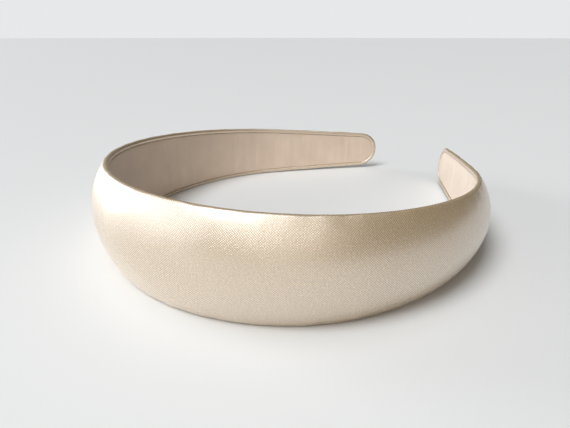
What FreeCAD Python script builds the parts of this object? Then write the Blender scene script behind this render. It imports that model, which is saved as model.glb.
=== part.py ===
import FreeCAD, Part
import os

from FreeCAD import Placement, Rotation, Vector
from Sketcher import Constraint

# Padded headband lying on its side on a surface, in millimetres.
# The band is one bend from tip to tip, widest and thickest over the crown.
# Its satin cover is a foam-filled dome outside. Inside, the cover's two edges
# are turned in as half-round rolls that frame a shallow recess for the lining.
# Row frame: +Z up, crown towards -Y, open end towards +Y, X across the arms.

SIZES = (
    # alias, value, what it is
    ("crown_radius", 61.7, "bend of the inner face over the crown"),
    ("crown_turn", 65.0, "degrees of that bend on each side of the middle"),
    ("side_radius", 74.6, "bend of the inner face along each side"),
    ("side_turn", 57.4, "degrees of that bend"),
    ("tip_radius", 600.0, "slight bend of the inner face towards each tip"),
    ("tip_turn", 4.6, "degrees of that bend"),
    ("crown_width", 32.0, "width at the middle of the crown"),
    ("shoulder_width", 32.6, "width that the shoulders pull towards"),
    ("arm_width", 25.1, "width that the arms pull towards"),
    ("tip_width", 18.4, "width where the round tip starts"),
    ("crown_depth", 6.4, "thickness at the middle of the crown"),
    ("shoulder_depth", 7.4, "thickness that the shoulders pull towards"),
    ("arm_depth", 7.5, "thickness that the arms pull towards"),
    ("tip_depth", 3.3, "thickness where the round tip starts"),
    ("edge_share", 0.2, "radius of the dome's edge as a share of its height"),
    ("roll_radius", 1.1, "radius of the turned-in edge"),
    ("recess_depth", 1.6, "depth of the recess for the lining below the rolls"),
    ("lining_sheet", 1.0, "thickness of the lining"),
    ("lining_gap", 0.1, "gap round the lining"),
    ("lying_tilt", 2.28, "degrees that the tips dip as the band lies"),
    ("lying_height", 16.08, "crown's middle above the surface"),
    ("table_reach", 200.0, "half size of the surface under the band"),
    ("squash_room", 5.0, "how far below the surface the edge is trimmed"),
)

# Stations on each side of the crown where the band's section is drawn.
# Columns: stretch of the bend, share of that stretch.
STATIONS = (
    ("crown", 0.33),
    ("crown", 0.67),
    ("crown", 1.0),
    ("side", 0.33),
    ("side", 0.67),
    ("side", 1.0),
    ("tip", 0.5),
    ("tip", 1.0),
)
STRETCHES = ("crown", "side", "tip")
LEFT, RIGHT = -1, 1

# Numbers by which a sketch knows its horizontal axis, its origin and a curve's points
AXIS = -1
ORIGIN = (-1, 1)
START, END, CENTRE = 1, 2, 3
MEET = 1e-6
OUTLINE_GRAIN = 0.05


def make_sheet(doc):
    """Add the sheet of driving dimensions."""
    sheet = doc.addObject("Spreadsheet::Sheet", "Sizes")
    for row, (alias, value, meaning) in enumerate(SIZES, 1):
        sheet.set(f"A{row}", alias)
        sheet.set(f"B{row}", str(value))
        sheet.set(f"C{row}", meaning)
        sheet.setAlias(f"B{row}", alias)
    doc.recompute()


# The bend, written as expressions on the sheet

def headings(stretch, share):
    """Degrees turned from the crown after each stretch, up to a station."""
    reached = STRETCHES.index(stretch)
    turned = ["0"]
    for index, name in enumerate(STRETCHES):
        part = share if index == reached else float(index < reached)
        turned.append(f"{turned[-1]} + {part} * Sizes.{name}_turn")
    return turned


def along_x(stretch, share):
    """Distance from the crown's middle across the arms."""
    turned = headings(stretch, share)
    steps = zip(STRETCHES, turned, turned[1:])
    return " + ".join(f"Sizes.{name}_radius * (sin({b}) - sin({a}))" for name, a, b in steps)


def along_y(stretch, share):
    """Distance from the crown's middle towards the open end."""
    turned = headings(stretch, share)
    steps = zip(STRETCHES, turned, turned[1:])
    return " + ".join(f"Sizes.{name}_radius * (cos({a}) - cos({b}))" for name, a, b in steps)


def path_length(stretch, share):
    """Length along the bend from the crown, in millimetre degrees."""
    turned = headings(stretch, share)
    steps = zip(STRETCHES, turned, turned[1:])
    return " + ".join(f"Sizes.{name}_radius * ({b} - ({a}))" for name, a, b in steps)


def tapered(kind):
    """Width or depth at a station's share of the half length, as a smooth pull of four."""
    return (
        f"Sizes.crown_{kind} * (1 - .Share)^3"
        f" + 3 * Sizes.shoulder_{kind} * .Share * (1 - .Share)^2"
        f" + 3 * Sizes.arm_{kind} * .Share^2 * (1 - .Share)"
        f" + Sizes.tip_{kind} * .Share^3"
    )


# Sketches

def origin_plane(body, role):
    """The body's own origin plane of that role."""
    return next(item for item in body.Origin.OriginFeatures if item.Role == role)


def station_sketch(body, name, stretch, share, side):
    """A sketch across the band: its x axis points outward, its y axis along the width."""
    sketch = body.newObject("Sketcher::SketchObject", name)
    sketch.AttachmentSupport = [(origin_plane(body, "XZ_Plane"), "")]
    sketch.MapMode = "FlatFace"
    sketch.AttachmentOffset = Placement(Vector(), Rotation(Vector(0, 1, 0), 1))
    heading = headings(stretch, share)[-1]
    sketch.setExpression(".AttachmentOffset.Rotation.Angle", f"{side} * ({heading}) - 90")
    sketch.setExpression(".AttachmentOffset.Base.x", f"{side} * ({along_x(stretch, share)})")
    sketch.setExpression(".AttachmentOffset.Base.z", f"-({along_y(stretch, share)})")
    sketch.addProperty("App::PropertyFloat", "Share", "Station", "share of the half length")
    here, whole = path_length(stretch, share), path_length("tip", 1.0)
    sketch.setExpression("Share", f"({here}) / ({whole})")
    sketch.recompute()
    return sketch


def fix_size(sketch, name, constraint, expression):
    """Add a constraint with a size and bind it to the sheet."""
    index = sketch.addConstraint(constraint)
    sketch.renameConstraint(index, name)
    sketch.setExpression(f"Constraints.{name}", expression)


def flipped(point):
    """The point on the other side of the section's middle."""
    return Vector(point.x, -point.y, 0)


def section_points(sketch):
    """Corner points of the upper half of the cover's section, and its sizes."""
    value = sketch.evalExpression
    half = value(tapered("width")) / 2
    depth = value(tapered("depth"))
    roll = value("Sizes.roll_radius")
    recess = value("Sizes.recess_depth")
    height = depth - roll
    edge = value("Sizes.edge_share") * height
    dome = (height**2 + half**2 - 2 * edge * half) / (2 * (height - edge))
    dome_centre = Vector(roll + height - dome, 0, 0)
    edge_centre = Vector(roll, half - edge, 0)
    outward = (edge_centre - dome_centre).normalize()
    return {
        "seat": Vector(recess, half - 2 * roll, 0),
        "inner": Vector(roll, half - 2 * roll, 0),
        "crest": Vector(0, half - roll, 0),
        "brow": Vector(roll, half, 0),
        "edge_middle": edge_centre + (outward + Vector(0, 1, 0)).normalize() * edge,
        "shoulder": dome_centre + outward * dome,
        "dome_middle": dome_centre + (outward + Vector(1, 0, 0)).normalize() * dome,
        "apex": Vector(depth, 0, 0),
    }


def end_at(sketch, curve, point):
    """The end of a curve that lies at the point, as the sketch names it."""
    gap = (sketch.getPoint(curve, START) - point).Length
    return (curve, START) if gap < MEET else (curve, END)


def chain(sketch, curves, corners, smooth):
    """Draw curves end to end, each corner joined, those listed in smooth without a kink."""
    sketch.addGeometry(curves, False)
    for first, corner in enumerate(corners):
        second = (first + 1) % len(curves)
        kind = "Tangent" if first in smooth else "Coincident"
        ends = end_at(sketch, first, corner) + end_at(sketch, second, corner)
        sketch.addConstraint(Constraint(kind, *ends))


def across(sketch, name, end, expression):
    """Place a point of the section at its distance out from the inner face."""
    here = sketch.getPoint(*end).x
    fix_size(sketch, name, Constraint("DistanceX", *ORIGIN, *end, here), expression)


def along_width(sketch, name, end, expression):
    """Place a point of the section at its distance from the band's middle line."""
    here = sketch.getPoint(*end).y
    fix_size(sketch, name, Constraint("DistanceY", *ORIGIN, *end, here), expression)


def radius(sketch, name, curve, expression):
    """Give an arc its radius."""
    here = sketch.Geometry[curve].Radius
    fix_size(sketch, name, Constraint("Radius", curve, here), expression)


def size_upper_half(sketch, points):
    """Size curves 0 to 3 of a cover section: the seat, its wall, the roll and the dome's edge."""
    seat, wall, roll, edge = range(4)
    brow = end_at(sketch, roll, points["brow"])
    inner = end_at(sketch, roll, points["inner"])
    sketch.addConstraint(Constraint("Vertical", seat))
    sketch.addConstraint(Constraint("Horizontal", wall))
    sketch.addConstraint(Constraint("Vertical", *inner, *brow))
    sketch.addConstraint(Constraint("Vertical", roll, CENTRE, *brow))
    radius(sketch, "roll", roll, "Sizes.roll_radius")
    radius(sketch, "edge", edge, f"Sizes.edge_share * ({tapered('depth')} - Sizes.roll_radius)")
    across(sketch, "inset", brow, "Sizes.roll_radius")
    across(sketch, "recess", (seat, START), "Sizes.recess_depth")
    along_width(sketch, "half_width", brow, f"({tapered('width')}) / 2")


def cover_section(sketch):
    """Draw the whole section of the cover: seat, two rolls and the padded dome."""
    at = section_points(sketch)
    curves = [
        Part.LineSegment(flipped(at["seat"]), at["seat"]),
        Part.LineSegment(at["seat"], at["inner"]),
        Part.Arc(at["inner"], at["crest"], at["brow"]),
        Part.Arc(at["brow"], at["edge_middle"], at["shoulder"]),
        Part.Arc(at["shoulder"], at["apex"], flipped(at["shoulder"])),
        Part.Arc(flipped(at["shoulder"]), flipped(at["edge_middle"]), flipped(at["brow"])),
        Part.Arc(flipped(at["brow"]), flipped(at["crest"]), flipped(at["inner"])),
        Part.LineSegment(flipped(at["inner"]), flipped(at["seat"])),
    ]
    upper = [at["seat"], at["inner"], at["brow"], at["shoulder"]]
    lower = [flipped(point) for point in reversed(upper)]
    chain(sketch, curves, upper + lower, smooth=(2, 3))
    size_upper_half(sketch, at)
    roll, edge, dome, low_edge, low_roll, low_wall = range(2, 8)
    sketch.addConstraint(Constraint("Horizontal", low_wall))
    sketch.addConstraint(Constraint("Vertical", low_roll, CENTRE, *end_at(sketch, low_roll, lower[1])))
    sketch.addConstraint(Constraint("Equal", edge, low_edge))
    mirrored = (("inner", roll, low_roll), ("brow", roll, low_roll), ("shoulder", dome, dome))
    for name, high, low in mirrored:
        ends = end_at(sketch, high, at[name]) + end_at(sketch, low, flipped(at[name]))
        sketch.addConstraint(Constraint("Symmetric", *ends, AXIS))
    apex = (sketch.addGeometry(Part.Point(at["apex"]), True), START)
    sketch.addConstraint(Constraint("PointOnObject", *apex, dome))
    for point in (apex, (dome, CENTRE)):
        sketch.addConstraint(Constraint("PointOnObject", *point, AXIS))
    across(sketch, "depth", apex, tapered("depth"))


def cover_half_section(sketch):
    """Draw the upper half of the cover's section, closed along its middle line."""
    at = section_points(sketch)
    foot = Vector(at["seat"].x, 0, 0)
    curves = [
        Part.LineSegment(foot, at["seat"]),
        Part.LineSegment(at["seat"], at["inner"]),
        Part.Arc(at["inner"], at["crest"], at["brow"]),
        Part.Arc(at["brow"], at["edge_middle"], at["shoulder"]),
        Part.Arc(at["shoulder"], at["dome_middle"], at["apex"]),
        Part.LineSegment(at["apex"], foot),
    ]
    corners = [at["seat"], at["inner"], at["brow"], at["shoulder"], at["apex"], foot]
    chain(sketch, curves, corners, smooth=(2, 3))
    size_upper_half(sketch, at)
    dome, closing = 4, 5
    apex = end_at(sketch, closing, at["apex"])
    for point in ((dome, CENTRE), apex, end_at(sketch, closing, foot)):
        sketch.addConstraint(Constraint("PointOnObject", *point, AXIS))
    across(sketch, "depth", apex, tapered("depth"))


def lining_corners(sketch, whole):
    """Corners of the lining's section, from its back's lower corner, and its size expressions."""
    back = "Sizes.recess_depth - Sizes.lining_gap"
    front = f"{back} - Sizes.lining_sheet"
    edge = f"({tapered('width')}) / 2 - 2 * Sizes.roll_radius - Sizes.lining_gap"
    x_back, x_front, y_edge = (sketch.evalExpression(text) for text in (back, front, edge))
    y_low = -y_edge if whole else 0
    corners = [
        Vector(x_back, y_low, 0),
        Vector(x_back, y_edge, 0),
        Vector(x_front, y_edge, 0),
        Vector(x_front, y_low, 0),
    ]
    return corners, back, front, edge


def draw_lining(sketch, whole):
    """Draw the lining's section, or its upper half closed along the middle line."""
    corners, back, front, edge = lining_corners(sketch, whole)
    curves = [Part.LineSegment(a, b) for a, b in zip(corners, corners[1:] + corners[:1])]
    chain(sketch, curves, corners[1:] + corners[:1], smooth=())
    back_line, top, front_line, bottom = range(4)
    sketch.addConstraint(Constraint("Vertical", back_line))
    sketch.addConstraint(Constraint("Vertical", front_line))
    sketch.addConstraint(Constraint("Horizontal", top))
    across(sketch, "back", (back_line, END), back)
    across(sketch, "front", (front_line, START), front)
    along_width(sketch, "edge", (back_line, END), edge)
    if whole:
        sketch.addConstraint(Constraint("Horizontal", bottom))
        along_width(sketch, "low_edge", (back_line, START), f"-({edge})")
    else:
        sketch.addConstraint(Constraint("PointOnObject", bottom, START, AXIS))
        sketch.addConstraint(Constraint("PointOnObject", bottom, END, AXIS))


def lining_section(sketch):
    """Draw the whole section of the lining."""
    draw_lining(sketch, whole=True)


def lining_half_section(sketch):
    """Draw the upper half of the lining's section."""
    draw_lining(sketch, whole=False)


# Solids

def loft_band(body, draw):
    """Loft the piece from tip to tip through its sections."""
    stops = [(*row, LEFT) for row in reversed(STATIONS)]
    stops.append(("crown", 0.0, RIGHT))
    stops.extend((*row, RIGHT) for row in STATIONS)
    sections = []
    for count, (stretch, share, side) in enumerate(stops, 1):
        sketch = station_sketch(body, f"{body.Name}_section_{count}", stretch, share, side)
        draw(sketch)
        sections.append(sketch)
    loft = body.newObject("PartDesign::AdditiveLoft", f"{body.Name}_band")
    loft.Profile = sections[0]
    loft.Sections = sections[1:]
    loft.Ruled = False


def round_tip(body, draw, side):
    """Turn the half section through a half turn, which rounds the end of the band."""
    name = "left" if side == LEFT else "right"
    sketch = station_sketch(body, f"{body.Name}_{name}_half", "tip", 1.0, side)
    draw(sketch)
    tip = body.newObject("PartDesign::Revolution", f"{body.Name}_{name}_tip")
    tip.Profile = sketch
    tip.ReferenceAxis = (sketch, ["H_Axis"])
    tip.Angle = 180.0
    tip.Reversed = side == RIGHT


def squash_edge(body):
    """Flatten the soft edge where the tilted band lies on the surface."""
    sketch = body.newObject("Sketcher::SketchObject", "surface")
    sketch.AttachmentSupport = [(origin_plane(body, "XY_Plane"), "")]
    sketch.MapMode = "FlatFace"
    sketch.AttachmentOffset = Placement(Vector(), Rotation(Vector(1, 0, 0), 1))
    sketch.setExpression(".AttachmentOffset.Rotation.Angle", "Sizes.lying_tilt")
    sketch.setExpression(".AttachmentOffset.Base.y", "Sizes.lying_height * sin(Sizes.lying_tilt)")
    sketch.setExpression(".AttachmentOffset.Base.z", "-Sizes.lying_height * cos(Sizes.lying_tilt)")
    reach = sketch.evalExpression("Sizes.table_reach")
    quarters = ((-1, -1), (1, -1), (1, 1), (-1, 1))
    corners = [Vector(across_sign * reach, along_sign * reach, 0) for across_sign, along_sign in quarters]
    curves = [Part.LineSegment(a, b) for a, b in zip(corners, corners[1:] + corners[:1])]
    chain(sketch, curves, corners[1:] + corners[:1], smooth=())
    for line, kind in enumerate(("Horizontal", "Vertical", "Horizontal", "Vertical")):
        sketch.addConstraint(Constraint(kind, line))
    for name, end, sign in (("low", (0, START), "-"), ("high", (2, START), "")):
        across(sketch, f"{name}_x", end, f"{sign}Sizes.table_reach")
        along_width(sketch, f"{name}_y", end, f"{sign}Sizes.table_reach")
    flat = body.newObject("PartDesign::Pocket", "resting_flat")
    flat.Profile = sketch
    flat.setExpression("Length", "Sizes.squash_room")


def make_piece(doc, node, draw, draw_half):
    """Build one piece of the band: its loft and two rounded tips, in a body of its own."""
    body = doc.addObject("PartDesign::Body", node)
    body.Label = node
    loft_band(body, draw)
    for side in (LEFT, RIGHT):
        round_tip(body, draw_half, side)
    doc.recompute()
    return body


def lay_down(doc, bodies):
    """Tip the pieces together onto the surface, with the outline's middle over the origin."""
    for body in bodies:
        body.Placement = Placement(Vector(), Rotation(Vector(1, 0, 0), 1))
        body.setExpression(".Placement.Rotation.Angle", "-Sizes.lying_tilt")
        body.setExpression(".Placement.Base.z", "Sizes.lying_height")
    doc.recompute()
    outline = [point.y for point in bodies[0].Shape.tessellate(OUTLINE_GRAIN)[0]]
    for body in bodies:
        body.Placement.Base.y -= (min(outline) + max(outline)) / 2
    doc.recompute()


def check(doc, bodies):
    """Stop with a plain message where an object failed or a sketch is loose."""
    for item in doc.Objects:
        if "Invalid" in item.State or "Error" in item.State:
            raise RuntimeError(f"{item.Name} failed: {item.State}")
        if item.isDerivedFrom("Sketcher::SketchObject") and not item.FullyConstrained:
            raise RuntimeError(f"{item.Name} isn't fully constrained")
    for body in bodies:
        if body.Shape.isNull() or not body.Shape.isValid() or len(body.Shape.Solids) != 1:
            raise RuntimeError(f"{body.Label} isn't one valid solid")


def main():
    """Build the headband and write one file for each piece."""
    doc = FreeCAD.newDocument("headband")
    make_sheet(doc)
    cover = make_piece(doc, "padded_cover", cover_section, cover_half_section)
    whole = cover.Shape.Volume
    squash_edge(cover)
    doc.recompute()
    if not cover.Shape.Volume < whole:
        raise RuntimeError("the resting flat trims nothing")
    lining = make_piece(doc, "inner_lining", lining_section, lining_half_section)
    bodies = [cover, lining]
    lay_down(doc, bodies)
    check(doc, bodies)
    os.makedirs("parts", exist_ok=True)
    for body in bodies:
        print(body.Label, f"{body.Shape.Volume:.0f} mm3", body.Placement.Base)
        body.Shape.exportStep(f"parts/{body.Label}.step")


main()
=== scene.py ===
"""Padded satin headband lying on its side: the look of every surface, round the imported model."""

import logging
from collections.abc import Callable
from dataclasses import dataclass, field
from enum import Enum
from math import cos, exp, hypot, pi, radians, sin

import bmesh
import bpy
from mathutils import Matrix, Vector, noise


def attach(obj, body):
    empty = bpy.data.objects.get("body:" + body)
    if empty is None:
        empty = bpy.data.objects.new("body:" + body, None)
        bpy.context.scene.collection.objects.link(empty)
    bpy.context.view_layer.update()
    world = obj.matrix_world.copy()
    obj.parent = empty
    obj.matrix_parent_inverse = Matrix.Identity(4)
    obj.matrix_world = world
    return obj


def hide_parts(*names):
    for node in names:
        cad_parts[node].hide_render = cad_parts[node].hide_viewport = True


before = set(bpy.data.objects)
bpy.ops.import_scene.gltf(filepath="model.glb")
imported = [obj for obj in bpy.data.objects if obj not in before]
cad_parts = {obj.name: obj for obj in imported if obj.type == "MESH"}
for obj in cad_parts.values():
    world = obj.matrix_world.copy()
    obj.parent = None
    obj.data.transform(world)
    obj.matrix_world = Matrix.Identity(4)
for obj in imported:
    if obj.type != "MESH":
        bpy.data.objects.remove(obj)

log = logging.getLogger("headband")

MILLIMETRE = 0.001

# A move shorter than this has no direction
SHORTEST_MOVE = 1e-9

# Radians that a diagonal wave texture turns through for each unit of its places
DIAGONAL_WAVE_TURN = 10

# Sockets that are found by number: a colour mix's two colours and result, a range's new limits
MIX_LOW, MIX_HIGH, MIX_RESULT = 6, 7, 2
RANGE_LOW, RANGE_HIGH = 3, 4

Colour = tuple[float, float, float]
Place = tuple[float, float, float]
Spot = tuple[float, float]
Section = Callable[[float], list[Spot]]
Relief = Callable[[float, float, list[Spot], int, float], Spot]
SocketValue = float | Colour | bpy.types.NodeSocket


class Node(Enum):
    """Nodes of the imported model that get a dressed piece."""

    COVER = "padded_cover"
    LINING = "inner_lining"


class Face(Enum):
    """Face of a strip that shows, from which its weave is measured."""

    INNER = "inner"
    OUTER = "outer"


class Seed(Enum):
    """Layers of unevenness, each drawn from its own slice of the noise."""

    UPPER_ROLL = 3.0
    LOWER_ROLL = 7.0
    FOAM = 11.0
    GATHERS = 19.0
    LONG_CREASES = 23.0
    SHORT_CREASES = 29.0


def pull(share: float, start: float, first: float, second: float, end: float) -> float:
    """Smooth change from start to end, drawn towards two values between them.

    Args:
        share: How far along the change is, from 0 to 1.
        start: Value at the start.
        first: Value that the first third pulls towards.
        second: Value that the last third pulls towards.
        end: Value at the end.

    Returns:
        The value at that share.
    """
    rest = 1 - share
    return start * rest**3 + 3 * first * share * rest**2 + 3 * second * share**2 * rest + end * share**3


def fade(distance: float, reach: float) -> float:
    """Bell that is 1 at no distance and nearly 0 past twice the reach."""
    return exp(-((distance / reach) ** 2))


def ramp(value: float, low: float, high: float) -> float:
    """Soft step from 0 at low to 1 at high."""
    share = min(max((value - low) / (high - low), 0.0), 1.0)
    return share * share * (3 - 2 * share)


def grain(along: float, across: float, seed: Seed) -> float:
    """Smooth unevenness from about -1 to 1, the same on each run."""
    return noise.noise(Vector((along, across, seed.value)))


def walk(spots: list[Spot]) -> float:
    """Length of the way from the first spot to the last."""
    return sum(hypot(b[0] - a[0], b[1] - a[1]) for a, b in zip(spots, spots[1:]))


@dataclass(frozen=True)
class Bend:
    """Bend of the band's inner face from the crown to each tip, and how the band lies."""

    crown_radius: float = 0.0617
    crown_turn: float = radians(65.0)
    side_radius: float = 0.0746
    side_turn: float = radians(57.4)
    tip_radius: float = 0.6
    tip_turn: float = radians(4.6)
    lying_tilt: float = radians(2.28)
    lying_height: float = 0.01608
    crown_place: float = -0.074144

    def stretches(self) -> tuple[Spot, ...]:
        """Stretches of the bend, in order from the crown.

        Returns:
            The radius and the turn of each stretch.
        """
        return (
            (self.crown_radius, self.crown_turn),
            (self.side_radius, self.side_turn),
            (self.tip_radius, self.tip_turn),
        )

    def half_length(self) -> float:
        """Length of the bend from the crown to where a round tip starts."""
        return sum(radius * turn for radius, turn in self.stretches())

    def place(self, along: float, out: float, across: float) -> Vector:
        """Place of a point that is given by the strip's own directions.

        Args:
            along: Length along the bend from the crown, negative on the left arm.
            out: Distance outward from the inner face.
            across: Distance across the strip from its middle line.

        Returns:
            The point in the row frame, no lower than the surface.
        """
        left_over, heading, x, y = abs(along), 0.0, 0.0, 0.0
        for radius, turn in self.stretches():
            step = min(left_over, radius * turn)
            ahead = heading + step / radius
            x += radius * (sin(ahead) - sin(heading))
            y += radius * (cos(heading) - cos(ahead))
            heading, left_over = ahead, left_over - step
        x += left_over * cos(heading) + out * sin(heading)
        y += left_over * sin(heading) - out * cos(heading)
        lean, rise = cos(self.lying_tilt), sin(self.lying_tilt)
        height = self.lying_height - y * rise + across * lean
        side = -1 if along < 0 else 1
        return Vector((side * x, self.crown_place + y * lean + across * rise, max(height, 0.0)))


@dataclass(frozen=True)
class Outline:
    """Widths and depths of the band from the crown to the tips."""

    widths: tuple[float, float, float, float] = (0.0320, 0.0326, 0.0251, 0.0184)
    depths: tuple[float, float, float, float] = (0.0064, 0.0074, 0.0075, 0.0033)
    edge_share: float = 0.2
    roll: float = 0.0011
    recess: float = 0.0016

    def half_width(self, share: float) -> float:
        """Half of the band's width at a share of the half length."""
        return pull(share, *self.widths) / 2

    def depth(self, share: float) -> float:
        """Thickness of the band at a share of the half length."""
        return pull(share, *self.depths)


@dataclass
class Strip:
    """Closed skin that follows the bend from tip to tip, made of half sections."""

    bend: Bend
    steps_along: int
    steps_round_tip: int
    shows: Face
    points: list[Vector] = field(default_factory=list)
    faces: list[list[int]] = field(default_factory=list)
    weave: list[list[Spot]] = field(default_factory=list)
    rims: list[float] = field(default_factory=list)

    def add_point(self, along: float, out: float, across: float, rim: float) -> int:
        """Add a point.

        Args:
            along: Length along the bend from the crown.
            out: Distance outward from the inner face.
            across: Distance across the strip from its middle line.
            rim: How much the point belongs to the rim, from 0 to 1.

        Returns:
            The point's number.
        """
        self.points.append(self.bend.place(along, out, across))
        self.rims.append(rim)
        return len(self.points) - 1

    def add_face(self, corners: list[tuple[int, Spot]]) -> None:
        """Add a face, leaving out a point that comes twice.

        Args:
            corners: Number of each point and its place on the cloth.
        """
        kept: list[tuple[int, Spot]] = []
        for corner in corners:
            if corner[0] not in [number for number, _ in kept]:
                kept.append(corner)
        self.faces.append([number for number, _ in kept])
        self.weave.append([spot for _, spot in kept])

    def spread(self, half: list[Spot]) -> list[float]:
        """Cloth measured round a half section from the face that shows.

        Args:
            half: Points of the half section, from the inner face to the outer.

        Returns:
            The length from the middle of the face that shows to each point.
        """
        lengths = [0.0]
        for (out, up), (next_out, next_up) in zip(half, half[1:]):
            lengths.append(lengths[-1] + hypot(next_out - out, next_up - up))
        if self.shows is Face.INNER:
            return lengths
        return [lengths[-1] - length for length in lengths]

    def make(self, section: Section, relief: Relief) -> None:
        """Work out every point and face of the skin.

        Args:
            section: Gives the half section at a share of the half length.
            relief: Gives how far a point stands out of its section, and its rim value.
        """
        reach = self.bend.half_length()
        rows: list[tuple[float, list[list[int]], list[float]]] = []
        for step in range(self.steps_along + 1):
            along = reach * (2 * step / self.steps_along - 1)
            half = section(abs(along) / reach)
            rows.append((along, self.ring(along, half, relief), self.spread(half)))
        for (along, ring, cloth), (ahead, next_ring, next_cloth) in zip(rows, rows[1:]):
            for side, sign in ((0, 1), (1, -1)):
                for k in range(len(cloth) - 1):
                    self.add_face([
                        (ring[side][k], (sign * cloth[k], along)),
                        (ring[side][k + 1], (sign * cloth[k + 1], along)),
                        (next_ring[side][k + 1], (sign * next_cloth[k + 1], ahead)),
                        (next_ring[side][k], (sign * next_cloth[k], ahead)),
                    ])
        half = section(1.0)
        for along, ring, cloth in (rows[0], rows[-1]):
            self.close_tip(along, half, ring, cloth, relief)

    def ring(self, along: float, half: list[Spot], relief: Relief) -> list[list[int]]:
        """Add the points of one whole section.

        Args:
            along: Length along the bend.
            half: Points of the half section.
            relief: Gives the height of the relief and the rim value.

        Returns:
            Numbers of the points of the upper half and of the lower half, which share their ends.
        """
        upper = []
        for out, up, rim in self.stand_out(along, half, 0.0, 1, relief):
            upper.append(self.add_point(along, out, up, rim))
        lower = [upper[0]]
        for out, up, rim in self.stand_out(along, half, 0.0, -1, relief)[1:-1]:
            lower.append(self.add_point(along, out, -up, rim))
        return [upper, lower + [upper[-1]]]

    def stand_out(
        self, along: float, half: list[Spot], turn: float, side: int, relief: Relief
    ) -> list[tuple[float, float, float]]:
        """Half section with its relief added along its own outward direction.

        Args:
            along: Length along the bend.
            half: Points of the half section.
            turn: Angle of the half section round a tip, 0 on the band.
            side: 1 on the upper half, -1 on the lower half.
            relief: Gives the height of the relief and the rim value.

        Returns:
            Distance out, distance across and rim value of each point.
        """
        cloth = self.spread(half)
        made = []
        last = len(half) - 1
        for k, (out, up) in enumerate(half):
            before, after = half[max(k - 1, 0)], half[min(k + 1, last)]
            run = Vector((after[0] - before[0], after[1] - before[1]))
            normal = Vector((-1.0, 0.0)) if k == 0 else Vector((-run.y, run.x)).normalized()
            if k == last:
                normal = Vector((1.0, 0.0))
            height, rim = relief(along, side * cos(turn) * cloth[k], half, k, turn)
            shift = normal * height
            made.append((out + shift.x, max(up + shift.y, 0.0), rim))
        return made

    def close_tip(
        self, along: float, half: list[Spot], ring: list[list[int]], cloth: list[float], relief: Relief
    ) -> None:
        """Turn the half section round the end of the band, from its upper to its lower edge.

        Args:
            along: Length along the bend at which the round tip starts.
            half: Points of the half section there.
            ring: Numbers of the points of the last whole section.
            cloth: Cloth measured to each point of the half section.
            relief: Gives the height of the relief and the rim value.
        """
        sign = -1 if along < 0 else 1
        fans = [ring[0]]
        for step in range(1, self.steps_round_tip):
            turn = pi * step / self.steps_round_tip
            fan = [ring[0][0]]
            for out, up, rim in self.stand_out(along, half, turn, 1, relief)[1:-1]:
                fan.append(self.add_point(along + sign * up * sin(turn), out, up * cos(turn), rim))
            fans.append(fan + [ring[0][-1]])
        fans.append(ring[1])
        for step, (fan, next_fan) in enumerate(zip(fans, fans[1:])):
            turns = [pi * (step + more) / self.steps_round_tip for more in (0, 1)]
            for k in range(len(cloth) - 1):
                corners = []
                for number, turn, at in (
                    (fan[k], turns[0], k),
                    (fan[k + 1], turns[0], k + 1),
                    (next_fan[k + 1], turns[1], k + 1),
                    (next_fan[k], turns[1], k),
                ):
                    spot = (cloth[at] * cos(turn), along + sign * cloth[at] * sin(turn))
                    corners.append((number, spot))
                self.add_face(corners)

    def to_object(self, name: str) -> bpy.types.Object:
        """Make the object of the skin, with its cloth map and rim values.

        Args:
            name: Name of the piece.

        Returns:
            The object, in the scene.
        """
        mesh = bpy.data.meshes.new(name)
        mesh.from_pydata([tuple(point) for point in self.points], [], self.faces)
        layer = mesh.uv_layers.new(name="cloth")
        for polygon, spots in zip(mesh.polygons, self.weave):
            polygon.use_smooth = True
            for loop, spot in zip(polygon.loop_indices, spots):
                layer.data[loop].uv = spot
        rim = mesh.attributes.new("rim", "FLOAT", "POINT")
        rim.data.foreach_set("value", self.rims)
        skin = bmesh.new()
        skin.from_mesh(mesh)
        bmesh.ops.recalc_face_normals(skin, faces=skin.faces)
        skin.to_mesh(mesh)
        skin.free()
        piece = bpy.data.objects.new(name, mesh)
        bpy.context.scene.collection.objects.link(piece)
        return piece


def smooth_out(piece: bpy.types.Object) -> None:
    """Divide the skin's faces once, which rounds them."""
    smooth = piece.modifiers.new("smooth", "SUBSURF")
    smooth.levels = smooth.render_levels = 1


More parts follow.
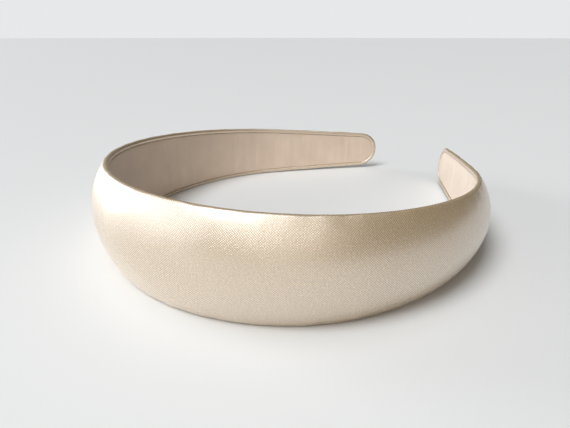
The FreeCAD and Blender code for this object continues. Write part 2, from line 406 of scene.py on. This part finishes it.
@dataclass
class FinishBench:
    """Bench on which the nodes of one finish are laid out."""

    material: bpy.types.Material

    @classmethod
    def named(cls, name: str) -> "FinishBench":
        """Lay out a bench for a new material that has only its surface shader.

        Args:
            name: Name of the material.

        Returns:
            The bench.
        """
        material = bpy.data.materials.new(name)
        material.use_nodes = True
        return cls(material)

    def add(
        self,
        kind: str,
        settings: dict[str, str] | None = None,
        inputs: dict[str | int, SocketValue] | None = None,
    ) -> bpy.types.Node:
        """Add a node.

        Args:
            kind: Blender's name of the node's type.
            settings: Options of the node.
            inputs: Sockets by name or number, each with a value or another node's socket.

        Returns:
            The node.
        """
        node = self.material.node_tree.nodes.new(kind)
        for name, value in (settings or {}).items():
            setattr(node, name, value)
        for name, value in (inputs or {}).items():
            self.feed(node.inputs[name], value)
        return node

    def feed(self, socket: bpy.types.NodeSocket, value: SocketValue) -> None:
        """Link a socket, or set its value.

        Args:
            socket: The socket that is fed.
            value: A value, or the socket that feeds it.
        """
        if isinstance(value, bpy.types.NodeSocket):
            self.material.node_tree.links.new(value, socket)
        elif isinstance(value, tuple) and socket.type == "RGBA":
            socket.default_value = (*value, 1.0)
        else:
            socket.default_value = value

    def set_surface(self, values: dict[str, SocketValue]) -> None:
        """Feed sockets of the surface shader.

        Args:
            values: Sockets by name, each with a value or another node's socket.
        """
        surface = self.material.node_tree.nodes["Principled BSDF"]
        for name, value in values.items():
            self.feed(surface.inputs[name], value)

    def sum_of(self, kind: str, first: SocketValue, second: SocketValue) -> bpy.types.NodeSocket:
        """Join two values by a named sum, such as ADD or MULTIPLY."""
        return self.add("ShaderNodeMath", {"operation": kind}, {0: first, 1: second}).outputs[0]

    def times_plus(
        self, value: SocketValue, factor: SocketValue, added: SocketValue
    ) -> bpy.types.NodeSocket:
        """Value times a factor, with another value added."""
        inputs = {0: value, 1: factor, 2: added}
        return self.add("ShaderNodeMath", {"operation": "MULTIPLY_ADD"}, inputs).outputs[0]

    def between(self, share: SocketValue, low: Colour, high: Colour) -> bpy.types.NodeSocket:
        """Colour between two, by a value that changes over the surface."""
        inputs = {"Factor": share, MIX_LOW: low, MIX_HIGH: high}
        return self.add("ShaderNodeMix", {"data_type": "RGBA"}, inputs).outputs[MIX_RESULT]

    def cloth_places(self, along_scale: float, across_scale: float) -> bpy.types.NodeSocket:
        """Places on the flat cloth.

        Args:
            along_scale: Scale along the band.
            across_scale: Scale across the band.

        Returns:
            The scaled places.
        """
        cloth = self.add("ShaderNodeUVMap", {"uv_map": "cloth"})
        scale = (across_scale, along_scale, 1.0)
        return self.add("ShaderNodeMapping", {}, {"Vector": cloth.outputs[0], "Scale": scale}).outputs[0]

    def clouds(
        self, places: bpy.types.NodeSocket, scale: float, detail: float
    ) -> bpy.types.NodeSocket:
        """Cloudy unevenness at a scale, with finer layers by its detail."""
        inputs = {"Vector": places, "Scale": scale, "Detail": detail}
        return self.add("ShaderNodeTexNoise", {}, inputs).outputs[0]

    def slanted_lines(
        self, places: bpy.types.NodeSocket, spacing: float, waver: float
    ) -> bpy.types.NodeSocket:
        """Slanted lines of thread.

        Args:
            places: Places on the cloth.
            spacing: Distance from line to line, along the band or across it.
            waver: How much the lines stray.

        Returns:
            The height of the lines, from 0 to 1.
        """
        settings = {"wave_type": "BANDS", "bands_direction": "DIAGONAL"}
        scale = 2 * pi / (DIAGONAL_WAVE_TURN * spacing)
        inputs = {"Vector": places, "Scale": scale, "Distortion": waver}
        return self.add("ShaderNodeTexWave", settings, inputs).outputs["Fac"]

    def raise_surface(self, height: bpy.types.NodeSocket, strength: float) -> None:
        """Give the surface a relief by its height in metres."""
        bump = self.add("ShaderNodeBump", {}, {"Strength": strength, "Distance": 1.0, "Height": height})
        self.set_surface({"Normal": bump.outputs[0]})


@dataclass(frozen=True)
class SatinFinish:
    """Champagne satin: a fine crossed twill with bright specks and short puckers at the rim."""

    name: str = "champagne_satin"
    light: Colour = (0.66, 0.48, 0.27)
    warm: Colour = (0.54, 0.36, 0.17)
    broad_scale: float = 60.0
    broad_share: float = 0.7
    speck_share: float = 0.3
    cloud_detail: float = 3.0
    twill_spacing: float = 0.0006
    twill_waver: float = 0.6
    specks_per_twill: float = 1.4
    roughness: Spot = (0.24, 0.34)
    lattice_in_gloss: float = 0.5
    specks_in_gloss: float = 0.5
    metal: float = 0.12
    coat: float = 1.0
    coat_bending: float = 2.0
    coat_roughness: float = 0.26
    bending_of_light: float = 2.6
    gloss_level: float = 1.0
    stretch: float = 0.8
    stretch_turn: float = 0.25
    sheen: float = 0.1
    sheen_roughness: float = 0.35
    sheen_tint: Colour = (1.0, 0.96, 0.90)
    twill_height: float = 0.00008
    speck_height: float = 1.2
    pucker_scale: float = 900.0
    pucker_detail: float = 1.0
    pucker_length: float = 0.15
    pucker_height: float = 0.00016
    relief_strength: float = 0.8

    def make(self) -> bpy.types.Material:
        """Lay out the finish.

        Returns:
            Its material.
        """
        bench = FinishBench.named(self.name)
        places = bench.cloth_places(1.0, 1.0)
        lattice = bench.sum_of("MULTIPLY", self.twill(bench, 1.0), self.twill(bench, -1.0))
        specks = bench.clouds(places, self.specks_per_twill / self.twill_spacing, self.cloud_detail)
        broad = bench.clouds(places, self.broad_scale, self.cloud_detail)
        tone = bench.times_plus(broad, self.broad_share, bench.sum_of("MULTIPLY", specks, self.speck_share))
        grain_way = bench.add("ShaderNodeTangent", {"direction_type": "UV_MAP", "uv_map": "cloth"})
        bench.set_surface({
            "Base Color": bench.between(tone, self.warm, self.light),
            "Roughness": self.gloss(bench, lattice, specks),
            "Sheen Weight": self.sheen,
            "Sheen Roughness": self.sheen_roughness,
            "Sheen Tint": self.sheen_tint,
            "Metallic": self.metal,
            "Coat Weight": self.coat,
            "Coat Roughness": self.coat_roughness,
            "Coat IOR": self.coat_bending,
            "Specular IOR Level": self.gloss_level,
            "IOR": self.bending_of_light,
            "Anisotropic": self.stretch,
            "Anisotropic Rotation": self.stretch_turn,
            "Tangent": grain_way.outputs[0],
        })
        self.raise_weave(bench, lattice, specks)
        return bench.material

    def twill(self, bench: FinishBench, slant: float) -> bpy.types.NodeSocket:
        """One set of the twill's slanted lines."""
        return bench.slanted_lines(bench.cloth_places(slant, 1.0), self.twill_spacing, self.twill_waver)

    def gloss(
        self, bench: FinishBench, lattice: bpy.types.NodeSocket, specks: bpy.types.NodeSocket
    ) -> bpy.types.NodeSocket:
        """Roughness that changes from thread to thread.

        Args:
            bench: Bench of the finish.
            lattice: The crossed lines of the twill.
            specks: The specks between them.

        Returns:
            The roughness.
        """
        speckled = bench.sum_of("MULTIPLY", specks, self.specks_in_gloss)
        shine = bench.times_plus(lattice, self.lattice_in_gloss, speckled)
        low, high = self.roughness
        return bench.add("ShaderNodeMapRange", {}, {0: shine, RANGE_LOW: low, RANGE_HIGH: high}).outputs[0]

    def raise_weave(
        self, bench: FinishBench, lattice: bpy.types.NodeSocket, specks: bpy.types.NodeSocket
    ) -> None:
        """Raise the twill's threads, and the short folds that run across the rim.

        Args:
            bench: Bench of the finish.
            lattice: The crossed lines of the twill.
            specks: The specks between them.
        """
        raised_specks = bench.sum_of("MULTIPLY", specks, self.speck_height)
        threads = bench.sum_of("MULTIPLY", bench.sum_of("ADD", lattice, raised_specks), self.twill_height)
        folds = bench.clouds(
            bench.cloth_places(1.0, self.pucker_length), self.pucker_scale, self.pucker_detail
        )
        rim = bench.add("ShaderNodeAttribute", {"attribute_name": "rim"}).outputs["Fac"]
        puckers = bench.sum_of("MULTIPLY", folds, rim)
        bench.raise_surface(bench.times_plus(puckers, self.pucker_height, threads), self.relief_strength)


@dataclass(frozen=True)
class LiningFinish:
    """Plain dull satin inside the band, creased where it was glued down."""

    name: str = "dull_satin"
    light: Colour = (0.86, 0.71, 0.58)
    shade: Colour = (0.70, 0.56, 0.44)
    broad_scale: float = 90.0
    broad_detail: float = 3.0
    roughness: float = 0.55
    sheen: float = 0.25
    sheen_roughness: float = 0.4
    thread_spacing: float = 0.0005
    thread_waver: float = 1.0
    thread_height: float = 0.00004
    crease_scale: float = 320.0
    crease_detail: float = 2.0
    crease_length: float = 0.12
    crease_height: float = 0.00035
    relief_strength: float = 0.7

    def make(self) -> bpy.types.Material:
        """Lay out the finish.

        Returns:
            Its material.
        """
        bench = FinishBench.named(self.name)
        places = bench.cloth_places(1.0, 1.0)
        broad = bench.clouds(places, self.broad_scale, self.broad_detail)
        bench.set_surface({
            "Base Color": bench.between(broad, self.shade, self.light),
            "Roughness": self.roughness,
            "Sheen Weight": self.sheen,
            "Sheen Roughness": self.sheen_roughness,
        })
        lines = bench.slanted_lines(places, self.thread_spacing, self.thread_waver)
        threads = bench.sum_of("MULTIPLY", lines, self.thread_height)
        creases = bench.clouds(
            bench.cloth_places(1.0, self.crease_length), self.crease_scale, self.crease_detail
        )
        bench.raise_surface(bench.times_plus(creases, self.crease_height, threads), self.relief_strength)
        return bench.material


@dataclass(frozen=True)
class TableFinish:
    """Plain pale table top."""

    name: str = "pale_table"
    colour: Colour = (0.71, 0.71, 0.70)
    faint: Colour = (0.69, 0.69, 0.685)
    cloud_scale: float = 6.0
    cloud_detail: float = 2.0
    roughness: float = 0.6

    def make(self) -> bpy.types.Material:
        """Lay out the finish.

        Returns:
            Its material.
        """
        bench = FinishBench.named(self.name)
        inputs = {"Scale": self.cloud_scale, "Detail": self.cloud_detail}
        spots = bench.add("ShaderNodeTexNoise", {}, inputs).outputs[0]
        colour = bench.between(spots, self.faint, self.colour)
        bench.set_surface({"Base Color": colour, "Roughness": self.roughness})
        return bench.material


@dataclass(frozen=True)
class Swelling:
    """How satin swells over foam: as cloth under pressure, on an enlarged copy."""

    scale: float = 10.0
    frames: int = 18
    cap: float = 0.0004
    glued_rim: float = 0.75
    glued_height: float = 0.0004
    quality: int = 6
    mass: float = 0.2
    tension: float = 25.0
    compression: float = 12.0
    bending: float = 3.0
    pressure: float = 30.0

    def enlarged(self, piece: bpy.types.Object) -> bpy.types.Object:
        """Make an enlarged copy of a piece.

        Args:
            piece: The piece.

        Returns:
            The copy, in the scene.
        """
        copy = bpy.data.objects.new("swelling", piece.data.copy())
        bpy.context.scene.collection.objects.link(copy)
        for point in copy.data.vertices:
            point.co *= self.scale
        return copy

    def put_on(self, copy: bpy.types.Object, glued: set[int]) -> None:
        """Make the copy a cloth that is held where it is glued.

        Args:
            copy: The enlarged copy.
            glued: Numbers of the points that are glued down.
        """
        group = copy.vertex_groups.new(name="glued")
        group.add(sorted(glued), 1.0, "REPLACE")
        cloth = copy.modifiers.new("satin", "CLOTH")
        cloth.settings.quality = self.quality
        cloth.settings.mass = self.mass
        cloth.settings.tension_stiffness = self.tension
        cloth.settings.compression_stiffness = self.compression
        cloth.settings.bending_stiffness = self.bending
        cloth.settings.use_pressure = True
        cloth.settings.uniform_pressure_force = self.pressure
        cloth.settings.vertex_group_mass = group.name
        cloth.settings.effector_weights.gravity = 0.0
        cloth.collision_settings.use_collision = False
        cloth.point_cache.frame_start = 1
        cloth.point_cache.frame_end = self.frames

    def moves(self, copy: bpy.types.Object, piece: bpy.types.Object) -> list[Vector]:
        """Run the cloth and measure it against the piece.

        Args:
            copy: The enlarged copy, dressed as cloth.
            piece: The piece at its own size.

        Returns:
            How far each point of the piece moves, none further than the cap.
        """
        for step in range(1, self.frames + 1):
            bpy.context.scene.frame_set(step)
        swollen = copy.evaluated_get(bpy.context.evaluated_depsgraph_get()).data
        moves = []
        for point, after in zip(piece.data.vertices, swollen.vertices):
            move = after.co / self.scale - point.co
            moves.append(move * (min(move.length, self.cap) / max(move.length, SHORTEST_MOVE)))
        return moves


@dataclass
class PaddedCover:
    """Satin over foam: a domed outside whose edges turn in as two soft rolls."""

    bend: Bend
    outline: Outline
    swelling: Swelling = Swelling()
    name: str = "satin_cover"
    steps_along: int = 280
    steps_round_tip: int = 16
    seat_steps: int = 4
    roll_steps: int = 8
    edge_steps: int = 4
    dome_steps: int = 11
    fill: float = 0.9
    foam_uneven: float = 0.00025
    foam_grain: float = 45.0
    roll_uneven: float = 0.00004
    roll_grain: float = 260.0
    gather_height: float = 0.00022
    gather_spacing: float = 0.0045
    gather_grain: float = 60.0
    rim_reach: float = 0.0028
    seam_dip: float = 0.00012
    held_back: float = 0.00012

    def section(self, share: float) -> list[Spot]:
        """Half section from the recess over the roll and the dome.

        Args:
            share: Share of the half length, from 0 at the crown to 1 at the tip.

        Returns:
            Distance out and across of each point.
        """
        half, depth = self.outline.half_width(share), self.outline.depth(share)
        roll, recess = self.outline.roll, self.outline.recess
        rise = depth - roll
        edge = self.outline.edge_share * rise
        dome = (rise**2 + half**2 - 2 * edge * half) / (2 * (rise - edge))
        middle = roll + rise - dome
        lean = Vector((roll - middle, half - edge)).normalized()
        shoulder_turn = Vector((1.0, 0.0)).angle(lean)
        spots = [(recess, (half - 2 * roll) * k / self.seat_steps) for k in range(self.seat_steps + 1)]
        for k in range(self.roll_steps + 1):
            turn = pi * k / self.roll_steps
            spots.append((roll - roll * sin(turn), half - roll - roll * cos(turn)))
        for k in range(1, self.edge_steps + 1):
            turn = pi / 2 - (pi / 2 - shoulder_turn) * k / self.edge_steps
            spots.append((roll + edge * cos(turn), half - edge + edge * sin(turn)))
        for k in range(1, self.dome_steps + 1):
            turn = shoulder_turn * (1 - k / self.dome_steps)
            spots.append((middle + dome * cos(turn), dome * sin(turn)))
        return spots

    def brow(self) -> int:
        """Number of the point where the roll meets the dome's edge."""
        return self.seat_steps + 1 + self.roll_steps

    def relief(self, along: float, across: float, half: list[Spot], k: int, turn: float) -> Spot:
        """Unevenness of the padding and the gathers at the rim.

        Args:
            along: Length along the bend.
            across: Cloth measured across the band.
            half: Points of the half section.
            k: Number of the point in the half section.
            turn: Angle of the half section round a tip.

        Returns:
            Height of the point out of its section, and its rim value.
        """
        brow = self.brow()
        from_brow = walk(half[min(k, brow):max(k, brow) + 1])
        rim = fade(from_brow, self.rim_reach)
        round_tip = along + sin(turn) * half[brow][1] * (1 if along > 0 else -1)
        if k <= self.seat_steps:
            return 0.0, rim
        if k < brow:
            seed = Seed.UPPER_ROLL if across > 0 else Seed.LOWER_ROLL
            return self.roll_uneven * grain(round_tip * self.roll_grain, turn, seed), rim
        foam = self.foam_uneven * grain(round_tip * self.foam_grain, across * self.foam_grain, Seed.FOAM)
        gathered = grain(round_tip / self.gather_spacing, across * self.gather_grain, Seed.GATHERS)
        gathers = self.gather_height * rim * gathered
        seam = self.seam_dip * fade(from_brow, 2 * self.outline.roll)
        started_small = self.held_back * ramp(from_brow, 0.0, 2 * self.rim_reach)
        return foam * (1 - rim) + gathers - seam - started_small, rim

    def build(self) -> bpy.types.Object:
        """Build the cover's skin and swell it over its foam.

        Returns:
            The cover.
        """
        strip = Strip(self.bend, self.steps_along, self.steps_round_tip, Face.OUTER)
        strip.make(self.section, self.relief)
        cover = strip.to_object(self.name)
        self.swell(cover)
        smooth_out(cover)
        return cover

    def swell(self, cover: bpy.types.Object) -> None:
        """Swell the satin over its foam, and lay it back on the surface.

        Args:
            cover: The cover, whose points are moved.
        """
        copy = self.swelling.enlarged(cover)
        self.swelling.put_on(copy, self.glued_points(cover))
        moves = self.swelling.moves(copy, cover)
        for point, move in zip(cover.data.vertices, moves):
            point.co += move
            point.co.z = max(point.co.z, 0.0)
        far = [move.length / MILLIMETRE for move in moves]
        average = sum(far) / len(far)
        log.info("swelling moved the satin %.2f mm on average, %.2f mm at most", average, max(far))
        bpy.data.objects.remove(copy, do_unlink=True)
        bpy.context.scene.frame_set(1)

    def glued_points(self, cover: bpy.types.Object) -> set[int]:
        """Points that are glued down: the recess, the rolls, the rim and what lies on the surface.

        Args:
            cover: The cover.

        Returns:
            Numbers of the points.
        """
        glued = self.seat_points(cover)
        rims = cover.data.attributes["rim"].data
        for point in cover.data.vertices:
            on_rim = rims[point.index].value > self.swelling.glued_rim
            if on_rim or point.co.z < self.swelling.glued_height:
                glued.add(point.index)
        return glued

    def seat_points(self, cover: bpy.types.Object) -> set[int]:
        """Points in the recess and on the rolls, which lie inside the brow.

        Args:
            cover: The cover.

        Returns:
            Numbers of the points.
        """
        spread = cover.data.uv_layers["cloth"].data
        inside = set()
        for polygon in cover.data.polygons:
            for loop, corner in zip(polygon.loop_indices, polygon.vertices):
                spot = spread[loop].uv
                if abs(spot.x) > self.dome_cloth(min(abs(spot.y) / self.bend.half_length(), 1.0)):
                    inside.add(corner)
        return inside

    def dome_cloth(self, share: float) -> float:
        """Cloth from the dome's middle to the brow."""
        return walk(self.section(share)[self.brow():])

    def dress(self, cover: bpy.types.Object, satin: bpy.types.Material) -> None:
        """Give the cover its finish and its place in the frame.

        Args:
            cover: The cover.
            satin: Its finish.
        """
        cover.data.materials.append(satin)
        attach(cover, "root")
        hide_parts(Node.COVER.value)


@dataclass
class InnerLining:
    """Thin strip of dull satin that lies in the recess between the rolls."""

    bend: Bend
    outline: Outline
    name: str = "satin_lining"
    thickness: float = 0.001
    gap: float = 0.00002
    plump: float = 0.00025
    lip: float = 0.0002
    soft_share: float = 0.25
    steps_along: int = 300
    steps_round_tip: int = 12
    face_steps: int = 7
    crease: float = 0.00026
    long_creases: Spot = (260.0, 35.0)
    short_creases: Spot = (520.0, 90.0)
    short_share: float = 0.5
    flat_width: float = 0.0276
    flat_length: float = 0.4
    flat_area: float = 0.0089

    def section(self, share: float) -> list[Spot]:
        """Half section of the strip, its face towards the head first.

        Args:
            share: Share of the half length.

        Returns:
            Distance out and across of each point.
        """
        back = self.outline.recess - self.gap
        front = back - self.thickness - self.plump
        half = self.outline.half_width(share) - 2 * self.outline.roll - self.gap
        soft = self.thickness * self.soft_share
        spots = [(front, half * k / self.face_steps) for k in range(self.face_steps + 1)]
        spots += [(front + self.lip / 2, half + self.lip), (front + 2 * self.lip, half + self.lip / 4)]
        spots += [(back - soft, half)]
        spots += [(back, (half - soft) * (1 - k / self.face_steps)) for k in range(self.face_steps + 1)]
        return spots

    def relief(self, along: float, across: float, half: list[Spot], k: int, turn: float) -> Spot:
        """Creases across the strip's face, none at its edges or on its back.

        Args:
            along: Length along the bend.
            across: Cloth measured across the strip.
            half: Points of the half section.
            k: Number of the point in the half section.
            turn: Angle of the half section round a tip.

        Returns:
            Height of the point, and no rim.
        """
        if k >= self.face_steps:
            return 0.0, 0.0
        long, short = self.long_creases, self.short_creases
        folds = grain(along * long[0], across * long[1], Seed.LONG_CREASES)
        folds += self.short_share * grain(along * short[0], across * short[1], Seed.SHORT_CREASES)
        return self.crease * folds, 0.0

    def build(self) -> bpy.types.Object:
        """Build the lining's skin.

        Returns:
            The lining.
        """
        strip = Strip(self.bend, self.steps_along, self.steps_round_tip, Face.INNER)
        strip.make(self.section, self.relief)
        lining = strip.to_object(self.name)
        smooth_out(lining)
        return lining

    def dress(self, lining: bpy.types.Object, satin: bpy.types.Material, cover: bpy.types.Object) -> None:
        """Give the lining its finish and its place in the frame.

        Args:
            lining: The lining.
            satin: Its finish.
            cover: The cover that it rests on; not used.
        """
        lining.data.materials.append(satin)
        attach(lining, "root")
        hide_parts(Node.LINING.value)


@dataclass
class Tabletop:
    """Pale surface that the band lies on."""

    half_size: float = 30.0

    def build(self, finish: TableFinish) -> None:
        """Build the surface.

        Args:
            finish: Finish of the surface.
        """
        reach = self.half_size
        corners = [(-reach, -reach, 0), (reach, -reach, 0), (reach, reach, 0), (-reach, reach, 0)]
        mesh = bpy.data.meshes.new("tabletop")
        mesh.from_pydata(corners, [], [(0, 1, 2, 3)])
        mesh.materials.append(finish.make())
        table = bpy.data.objects.new("tabletop", mesh)
        bpy.context.scene.collection.objects.link(table)


@dataclass(frozen=True)
class SoftLight:
    """Distant soft light, given by where it comes from and its spread in degrees."""

    name: str
    comes_from: Place
    spread: float
    strength: float
    colour: Colour

    def build(self) -> None:
        """Hang the light."""
        lamp = bpy.data.lights.new(self.name, "SUN")
        lamp.angle = radians(self.spread)
        lamp.energy = self.strength
        lamp.color = self.colour
        hung = bpy.data.objects.new(self.name, lamp)
        hung.rotation_euler = Vector(self.comes_from).to_track_quat("Z", "Y").to_euler()
        bpy.context.scene.collection.objects.link(hung)


@dataclass
class Studio:
    """Low window light from the left, soft light from above, and a faint warm fill."""

    lights: tuple[SoftLight, ...] = (
        SoftLight("window", (-0.91, -0.37, 0.19), 26.0, 1.55, (0.90, 0.95, 1.0)),
        SoftLight("sill", (-0.41, -0.88, 0.26), 40.0, 0.45, (0.98, 0.99, 1.0)),
        SoftLight("ceiling", (-0.08, -0.55, 0.83), 28.0, 2.30, (0.94, 0.97, 1.0)),
        SoftLight("above", (-0.12, -0.12, 0.98), 40.0, 0.80, (0.98, 0.99, 1.0)),
        SoftLight("room", (0.56, -0.66, 0.50), 60.0, 0.60, (1.0, 0.90, 0.76)),
    )
    sky: Colour = (0.93, 0.95, 1.0)
    sky_towards: Place = (-0.35, -0.90, 0.25)
    sky_strengths: Spot = (0.0, 0.16)
    backdrop: Colour = (0.80, 0.81, 0.82)

    def build(self) -> None:
        """Hang the lights and set the sky, which shows pale behind the surface."""
        for light in self.lights:
            light.build()
        world = bpy.data.worlds.new("studio")
        world.use_nodes = True
        tree = world.node_tree
        sky, backdrop = tree.nodes["Background"], tree.nodes.new("ShaderNodeBackground")
        sky.inputs["Color"].default_value = (*self.sky, 1.0)
        towards, lit = tree.nodes.new("ShaderNodeVectorMath"), tree.nodes.new("ShaderNodeMapRange")
        towards.operation = "DOT_PRODUCT"
        towards.inputs[1].default_value = Vector(self.sky_towards).normalized()
        lit.inputs["From Min"].default_value = -1.0
        lit.inputs["To Min"].default_value, lit.inputs["To Max"].default_value = self.sky_strengths
        places = tree.nodes.new("ShaderNodeTexCoord")
        tree.links.new(places.outputs["Generated"], towards.inputs[0])
        tree.links.new(towards.outputs["Value"], lit.inputs["Value"])
        tree.links.new(lit.outputs[0], sky.inputs["Strength"])
        backdrop.inputs["Color"].default_value = (*self.backdrop, 1.0)
        seen, choice = tree.nodes.new("ShaderNodeLightPath"), tree.nodes.new("ShaderNodeMixShader")
        tree.links.new(seen.outputs["Is Camera Ray"], choice.inputs[0])
        tree.links.new(sky.outputs[0], choice.inputs[1])
        tree.links.new(backdrop.outputs[0], choice.inputs[2])
        tree.links.new(choice.outputs[0], tree.nodes["World Output"].inputs["Surface"])
        bpy.context.scene.world = world


@dataclass
class PhotoCamera:
    """Camera at the photograph's angle, close to the band's right front."""

    place: Place = (0.1041, -0.1204, 0.0685)
    looks: Place = (-0.640, 0.659, -0.394)
    lens: float = 26.055
    sensor: float = 36.0
    nearest: float = 0.005

    def build(self) -> None:
        """Set up the camera and make it the scene's."""
        data = bpy.data.cameras.new("photo_camera")
        data.lens = self.lens
        data.sensor_width = self.sensor
        data.clip_start = self.nearest
        camera = bpy.data.objects.new("photo_camera", data)
        camera.location = self.place
        camera.rotation_euler = Vector(self.looks).to_track_quat("-Z", "Y").to_euler()
        bpy.context.scene.collection.objects.link(camera)
        bpy.context.scene.camera = camera


def report(piece: bpy.types.Object) -> None:
    """Log how many points and faces a piece has."""
    log.info("%s: %d points, %d faces", piece.name, len(piece.data.vertices), len(piece.data.polygons))


def main() -> None:
    """Build the band's pieces, its stage and its camera in order."""
    logging.basicConfig(level=logging.INFO, format="%(name)s %(message)s")
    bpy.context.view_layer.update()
    bpy.context.scene.view_settings.view_transform = "Standard"
    bend, outline = Bend(), Outline()
    PhotoCamera().build()
    padding = PaddedCover(bend, outline)
    cover = padding.build()
    padding.dress(cover, SatinFinish().make())
    report(cover)
    strip = InnerLining(bend, outline)
    lining = strip.build()
    strip.dress(lining, LiningFinish().make(), cover)
    report(lining)
    Tabletop().build(TableFinish())
    Studio().build()


if __name__ == "__main__":
    main()
